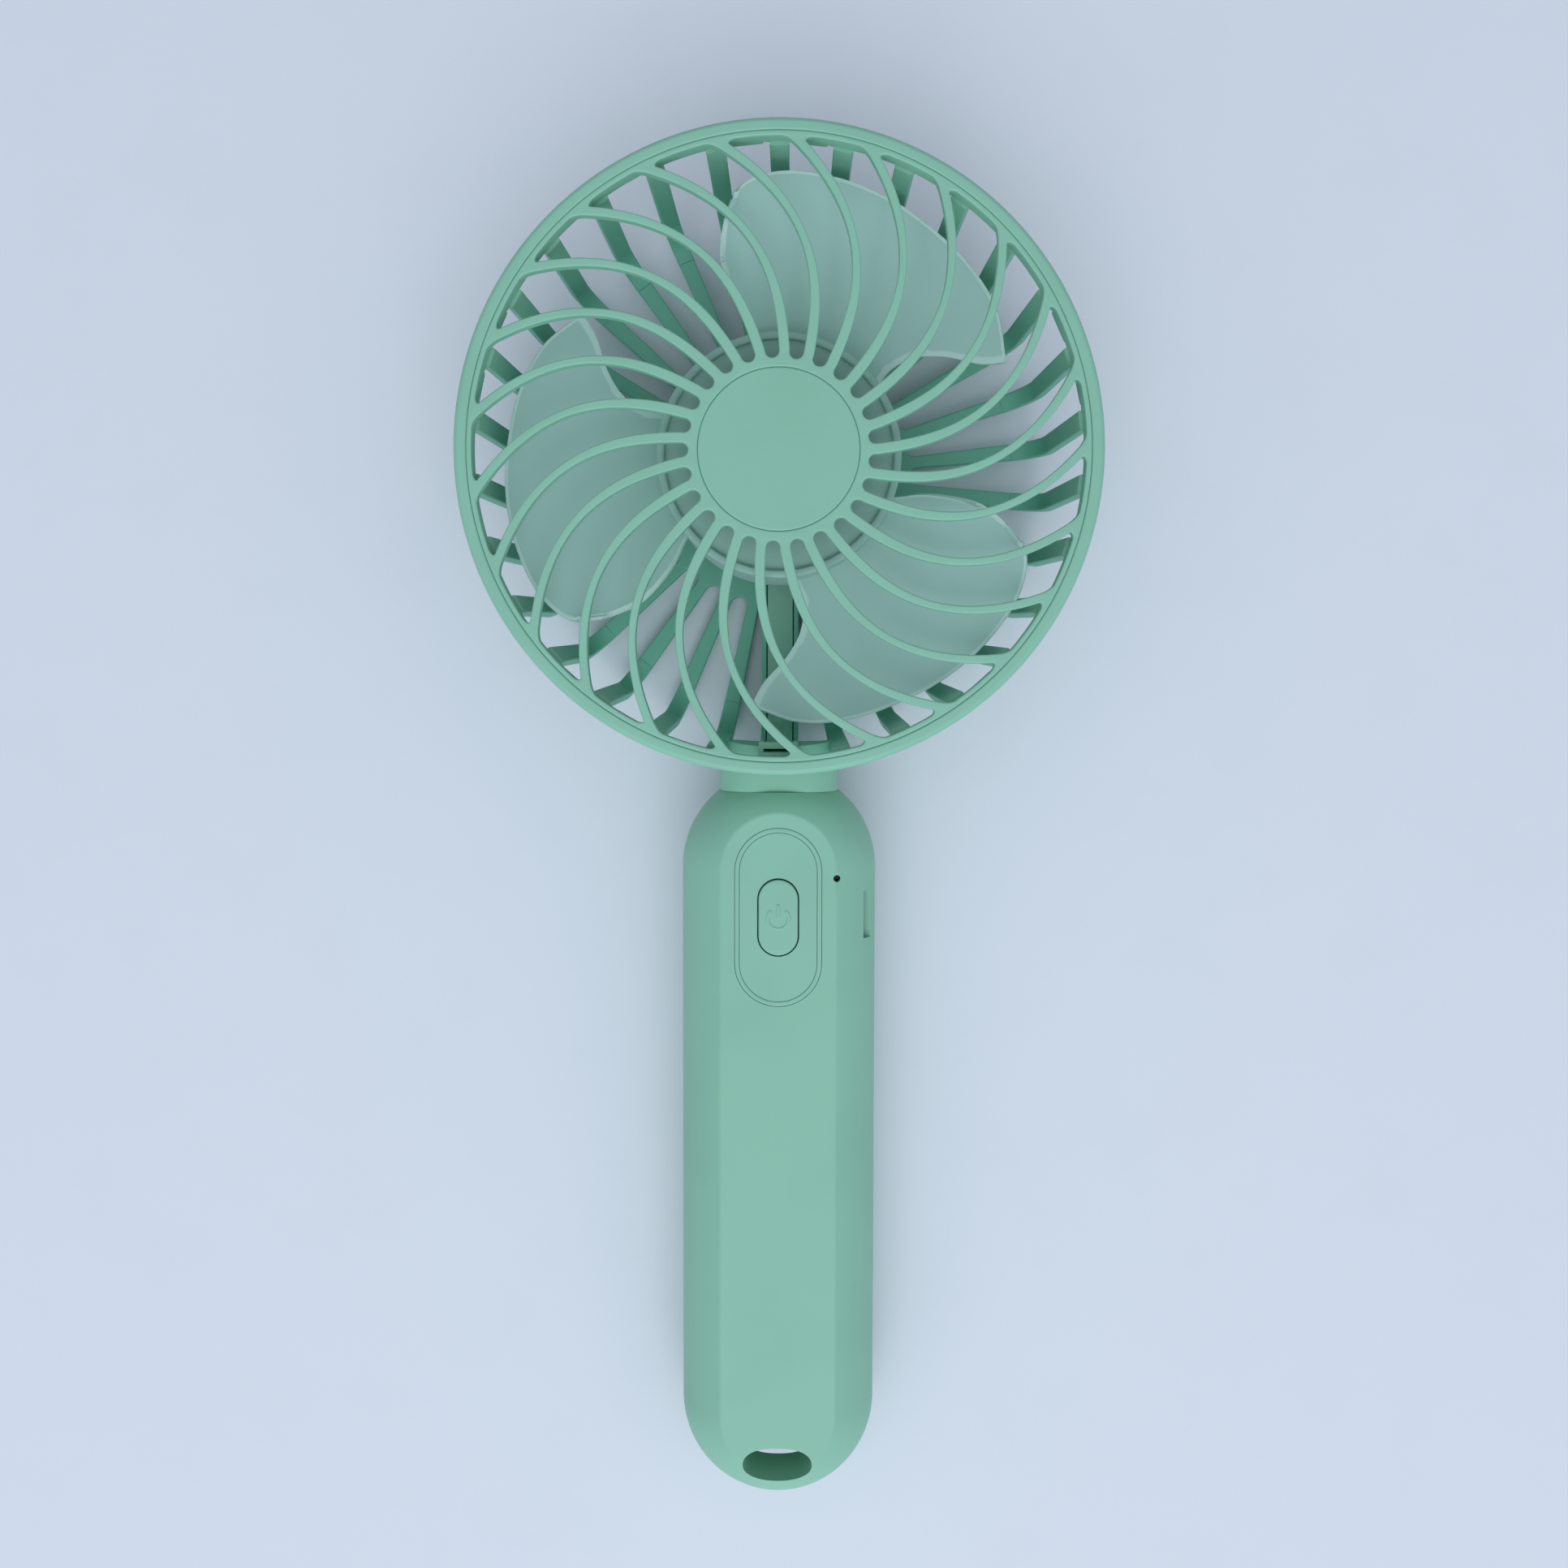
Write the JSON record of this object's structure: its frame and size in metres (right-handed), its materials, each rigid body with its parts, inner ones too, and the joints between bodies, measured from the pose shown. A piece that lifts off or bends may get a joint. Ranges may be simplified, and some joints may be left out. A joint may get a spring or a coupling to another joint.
{
  "type": "handheld electric fan",
  "caption": "Battery handheld fan with a round caged head, spiral front grille, translucent paddle rotor, faceted handle, power button, side charging slot and lanyard slot.",
  "frame": {"origin": "centre of the flat back of the head, on the rotor axis", "axes": "+Z along the rotor axis toward the front of the fan, the handle runs toward -Y, +X to the right seen from the front"},
  "size_m": [0.101, 0.2223, 0.034],
  "materials": {
    "shell": "fine satin moulded plastic, mint green",
    "frosted_rotor": "frosted translucent white moulded plastic",
    "steel": "plated steel",
    "magnet": "sintered ferrite",
    "bronze": "sintered bronze",
    "copper": "enamelled copper",
    "black_plastic": "black moulded plastic",
    "component": "ceramic and epoxy parts",
    "led": "clear epoxy with a pale phosphor",
    "board": "green solder mask",
    "cell_wrap": "plain blue heat-shrink sleeve",
    "foam": "closed-cell foam",
    "red_wire": "red insulated wire",
    "black_wire": "black insulated wire"
  },
  "bodies": {
    "housing": {"front_grille": "shell", "front_badge": "shell", "rear_guard": "shell", "wire_cover": "shell", "motor_retainer": "shell", "retainer_screws": "steel", "motor_can": "steel", "motor_magnets": "magnet", "motor_end_cap": "black_plastic", "motor_bushings": "bronze", "motor_brushes": "copper", "motor_terminals": "copper", "wire_red": "red_wire", "wire_black": "black_wire", "handle_front": "shell", "handle_rear": "shell", "handle_screws": "steel", "circuit_board": "board", "board_screws": "steel", "charge_port": "steel", "charge_chip": "black_plastic", "board_components": "component", "indicator_led": "led", "switch_body": "black_plastic", "battery_cell": "cell_wrap", "battery_tabs": "steel", "battery_lead_red": "red_wire", "battery_lead_black": "black_wire", "battery_foam": "foam"},
    "rotor": {"impeller": "frosted_rotor", "motor_shaft": "steel", "armature_core": "steel", "armature_windings": "copper", "commutator": "copper"},
    "button": {"power_button": "shell", "switch_plunger": "black_plastic"}
  },
  "joints": [
    {"name": "rotor_spin", "type": "hinge", "parent": "housing", "child": "rotor", "pos_m": [0, 0, 0.0165], "axis": [0, 0, 1], "continuous": true},
    {"name": "button_press", "type": "slide", "parent": "housing", "child": "button", "axis": [0, 0, -1], "range_m": [0, 0.0004], "stiffness_N_per_m": 4000, "springref_m": -0.0001}
  ]
}
